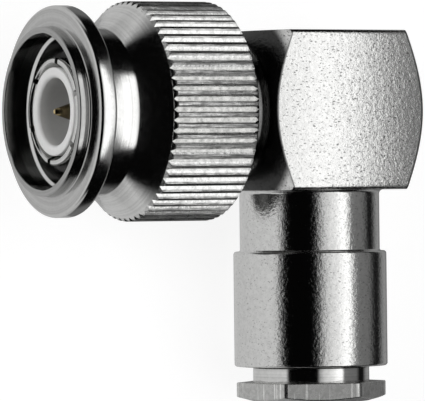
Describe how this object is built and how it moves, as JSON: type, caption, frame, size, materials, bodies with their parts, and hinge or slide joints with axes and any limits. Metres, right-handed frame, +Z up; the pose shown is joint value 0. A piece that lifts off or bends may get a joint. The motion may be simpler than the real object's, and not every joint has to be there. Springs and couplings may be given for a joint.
{
  "type": "tnc connector",
  "caption": "Right-angle threaded coaxial plug with a knurled coupling nut, square block, clamped cable leg, rear cap and slotted outer contact around a white dielectric.",
  "frame": {"origin": "on the plug axis, at the root of the outer contact, just in front of the gasket", "axes": "+Z is up from the surface that the connector lies on at z = about -9.1 mm; the mating end points along -X, tipped up by about 7 degrees, and the leg points along -Y, dipping by about 3.5 degrees"},
  "size_m": [0.0309, 0.0304, 0.0175],
  "materials": {
    "nickel_block": "bright nickel plating over brass",
    "nickel_leg": "bright nickel plating over brass",
    "nickel_nut": "bright nickel plating over brass",
    "nickel_clamp": "bright nickel plating over brass",
    "steel_ring": "spring steel",
    "contact_plate": "bright nickel plating over brass",
    "gold_pin": "gold plating",
    "white_dielectric": "waxy white fluoropolymer",
    "grey_rubber": "matt silicone rubber"
  },
  "bodies": {
    "body": {"angle_block": "nickel_block", "cable_leg": "nickel_leg", "retaining_ring": "steel_ring", "outer_contact": "contact_plate", "front_gasket": "grey_rubber", "front_insulator": "white_dielectric", "centre_pin": "gold_pin"},
    "coupling_nut": {"coupling_nut": "nickel_nut"},
    "clamp_stack": {"braid_clamp": "contact_plate", "cable_gasket": "grey_rubber", "thrust_washer": "contact_plate"},
    "clamp_nut": {"clamp_nut": "nickel_clamp"},
    "cap_disc": {"rear_insulator": "white_dielectric"},
    "rear_cap": {"rear_cap": "nickel_block"}
  },
  "joints": [
    {"name": "coupling_nut_spin", "type": "hinge", "parent": "body", "child": "coupling_nut", "pos_m": [0, 0, 0], "axis": [-0.9917, 0, 0.1289], "continuous": true},
    {"name": "clamp_stack_travel", "type": "slide", "parent": "body", "child": "clamp_stack", "axis": [0.008, 0.9981, 0.0612], "range_m": [-0.00375, 0.00108]},
    {"name": "clamp_nut_turn", "type": "hinge", "parent": "clamp_stack", "child": "clamp_nut", "pos_m": [0.01619, -0.02191, -0.00347], "axis": [0.008, 0.9981, 0.0612], "range_deg": [-1800.3, 520.3]},
    {"name": "cap_disc_travel", "type": "slide", "parent": "body", "child": "cap_disc", "axis": [0.9917, 0, -0.1289], "range_m": [0, 0.0015]},
    {"name": "rear_cap_turn", "type": "hinge", "parent": "cap_disc", "child": "rear_cap", "pos_m": [0.02112, 0, -0.00275], "axis": [0.9917, 0, -0.1289], "range_deg": [-0.3, 1080.3]}
  ],
  "couplings": [
    {"joint": "clamp_nut_turn", "follows": "clamp_stack_travel", "rad_per_m": 8377.6},
    {"joint": "rear_cap_turn", "follows": "cap_disc_travel", "rad_per_m": 12566}
  ]
}
